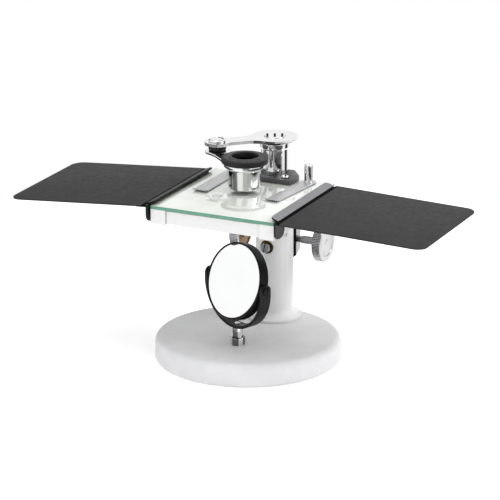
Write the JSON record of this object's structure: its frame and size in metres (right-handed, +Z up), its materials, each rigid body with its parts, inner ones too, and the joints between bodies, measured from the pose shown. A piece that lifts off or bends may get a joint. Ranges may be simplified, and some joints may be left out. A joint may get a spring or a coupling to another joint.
{
  "type": "dissecting microscope",
  "caption": "Simple dissecting microscope: round base, pillar, glass stage with clips, two-sided tilting mirror, rack focus, jointed loupe arm and lift-off hand rests.",
  "frame": {"origin": "centre of the round base's underside", "axes": "+Z up, +X to the right of the user who looks down through the loupe, +Y away from the user, towards the pillar"},
  "size_m": [0.3094, 0.1341, 0.1508],
  "materials": {
    "grey_paint": "light grey stoved enamel, semi-gloss",
    "white_paint": "off-white enamel, semi-gloss",
    "black_paint": "black enamel, satin",
    "chrome": "bright chrome plate",
    "satin_steel": "satin nickel or plain steel",
    "brass": "aged turned brass",
    "rubber": "matte black rubber",
    "nylon": "natural nylon",
    "plate_glass": "plate glass, polished on top and frosted white below, with a green edge",
    "lens_glass": "polished optical glass",
    "mirror_glass": "silvered mirror"
  },
  "bodies": {
    "stand": {"base": "grey_paint", "base_pad": "rubber", "pillar": "white_paint", "pillar_bolt": "satin_steel", "post_guide_screw": "satin_steel", "stage_frame": "white_paint", "stage_glass": "plate_glass", "guide_plate": "black_paint", "guide_plate_screw_left": "chrome", "guide_plate_screw_right": "chrome", "rail_screw_left": "satin_steel", "rail_screw_right": "satin_steel", "friction_bush": "brass", "friction_screw": "satin_steel", "friction_pad": "nylon", "pinion_saddle": "black_paint", "pinion_cover": "satin_steel", "pinion_cover_screw_1": "satin_steel", "pinion_cover_screw_2": "satin_steel", "pinion_cover_screw_3": "satin_steel", "pinion_cover_screw_4": "satin_steel", "mirror_socket": "chrome"},
    "clip_left": {"clip_strip_left": "satin_steel", "clip_pin_left": "chrome"},
    "clip_right": {"clip_strip_right": "satin_steel", "clip_pin_right": "chrome"},
    "pinion": {"pinion_shaft": "satin_steel", "pinion_gear": "brass", "focus_knob_left": "chrome", "focus_knob_right": "chrome", "knob_insert_left": "brass", "knob_insert_right": "brass"},
    "lens_carrier": {"lens_post": "chrome", "post_collar": "chrome", "arm_washer": "rubber", "focus_rack": "satin_steel", "arm_cap_nut": "chrome"},
    "first_arm": {"upper_arm": "chrome", "elbow_screw": "chrome", "elbow_spacer": "rubber", "elbow_nut": "chrome"},
    "second_arm": {"lower_arm": "chrome"},
    "loupe": {"lens_barrel": "chrome", "eyecup": "rubber", "eye_lens": "lens_glass", "field_lens": "lens_glass", "lens_spacer": "black_paint", "lens_retainer": "black_paint"},
    "mirror_yoke": {"mirror_fork": "black_paint", "mirror_stem": "chrome", "mirror_pivot_screw_left": "black_paint", "mirror_pivot_screw_right": "black_paint"},
    "mirror": {"mirror_cell": "black_paint", "plane_mirror": "mirror_glass", "concave_mirror": "mirror_glass"},
    "rest_left": {"hand_rest_left": "black_paint", "hand_rest_hook_left": "black_paint"},
    "rest_right": {"hand_rest_right": "black_paint", "hand_rest_hook_right": "black_paint"}
  },
  "joints": [
    {"name": "post_slide", "type": "slide", "parent": "stand", "child": "lens_carrier", "axis": [0, 0, 1], "range_m": [-0.002, 0.025]},
    {"name": "pinion_turn", "type": "hinge", "parent": "stand", "child": "pinion", "pos_m": [0, 0.0555, 0.0717], "axis": [-1, 0, 0], "range_deg": [-33, 399]},
    {"name": "upper_arm_swing", "type": "hinge", "parent": "lens_carrier", "child": "first_arm", "pos_m": [0, 0.0432, 0.148], "axis": [0, 0, 1], "range_deg": [-40, 40]},
    {"name": "elbow_swing", "type": "hinge", "parent": "first_arm", "child": "second_arm", "pos_m": [-0.03012, 0.0135, 0.1418], "axis": [0, 0, 1], "range_deg": [-60, 20]},
    {"name": "lens_lift", "type": "slide", "parent": "second_arm", "child": "loupe", "axis": [0, 0, 1], "range_m": [0, 0.03]},
    {"name": "clip_left_swivel", "type": "hinge", "parent": "stand", "child": "clip_left", "pos_m": [-0.0295, 0.0355, 0.121], "axis": [0, 0, 1], "range_deg": [-6, 14]},
    {"name": "clip_right_swivel", "type": "hinge", "parent": "stand", "child": "clip_right", "pos_m": [0.0295, 0.0355, 0.121], "axis": [0, 0, 1], "range_deg": [-9, 11]},
    {"name": "mirror_swivel", "type": "hinge", "parent": "stand", "child": "mirror_yoke", "pos_m": [0.0022, -0.022, 0.03], "axis": [0, 0, 1], "continuous": true},
    {"name": "mirror_tilt", "type": "hinge", "parent": "mirror_yoke", "child": "mirror", "pos_m": [0.0022, -0.022, 0.0621], "axis": [0.9178, -0.3971, 0], "continuous": true},
    {"name": "hand_rest_left_lift", "type": "slide", "parent": "stand", "child": "rest_left", "axis": [0, 0, 1], "range_m": [0, 0.015]},
    {"name": "hand_rest_right_lift", "type": "slide", "parent": "stand", "child": "rest_right", "axis": [0, 0, 1], "range_m": [0, 0.015]}
  ],
  "couplings": [
    {"joint": "pinion_turn", "follows": "post_slide", "rad_per_m": 277.78}
  ]
}
